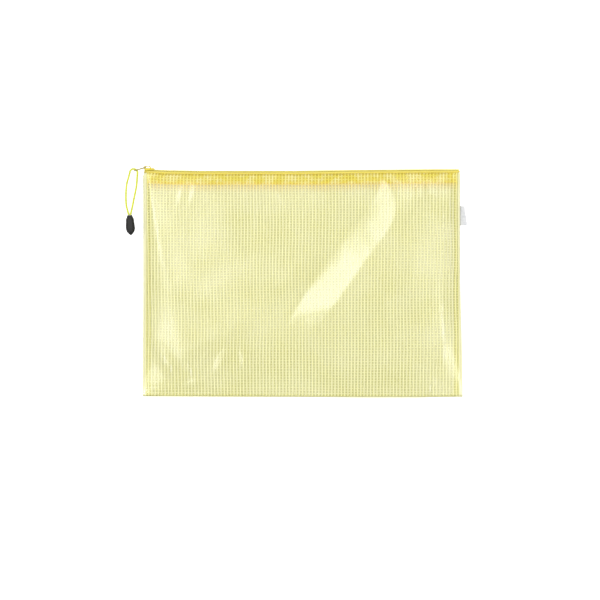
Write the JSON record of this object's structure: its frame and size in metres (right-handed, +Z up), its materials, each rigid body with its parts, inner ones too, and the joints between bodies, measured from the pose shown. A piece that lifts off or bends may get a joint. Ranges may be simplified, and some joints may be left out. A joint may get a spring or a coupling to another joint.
{
  "type": "zipper pouch",
  "caption": "Flat translucent mesh document pouch with a zipper along its top edge, a slider with pull tab, a cord loop pull and a blank side tab.",
  "frame": {"origin": "on the table, under the middle of the pouch's back wall, which lies flat", "axes": "+X to the right along the zipper, +Y from the bottom fold to the zipper, +Z up off the table through the front wall"},
  "size_m": [0.3607, 0.2435, 0.0122],
  "materials": {
    "film": "gloss",
    "tape": "woven",
    "coil": "satin",
    "enamel": "gloss",
    "cord": "braided",
    "black": "satin",
    "ribbon": "woven"
  },
  "bodies": {
    "pouch": {"back_panel": "film", "left_seam": "film", "right_seam": "film", "back_tape": "tape", "back_coil": "coil", "label_tab": "ribbon"},
    "front_wall": {"front_panel": "film", "front_tape": "tape", "front_coil": "coil"},
    "slider": {"slider_body": "enamel"},
    "tab": {"pull_tab": "enamel"},
    "cord": {"pull_cord": "cord", "cord_end": "black"}
  },
  "joints": [
    {"name": "slider_travel", "type": "slide", "parent": "pouch", "child": "slider", "axis": [1, 0, 0], "range_m": [0, 0.318], "deforming": ["back_coil", "front_coil", "pull_cord", "cord_end"]},
    {"name": "mouth_open", "type": "hinge", "parent": "pouch", "child": "front_wall", "pos_m": [0, -0.1192, 0.0008], "axis": [1, 0, 0], "range_deg": [0, 8]},
    {"name": "tab_swing", "type": "hinge", "parent": "slider", "child": "tab", "pos_m": [-0.16553, 0.12186, 0.0061], "axis": [0, 0, 1], "range_deg": [-165, 0]},
    {"name": "cord_swing", "type": "hinge", "parent": "tab", "child": "cord", "pos_m": [-0.1754, 0.11894, 0.0061], "axis": [0, 0, 1], "range_deg": [-80, 4]}
  ],
  "couplings": [
    {"joint": "mouth_open", "follows": "slider_travel", "rad_per_m": 0.439}
  ]
}
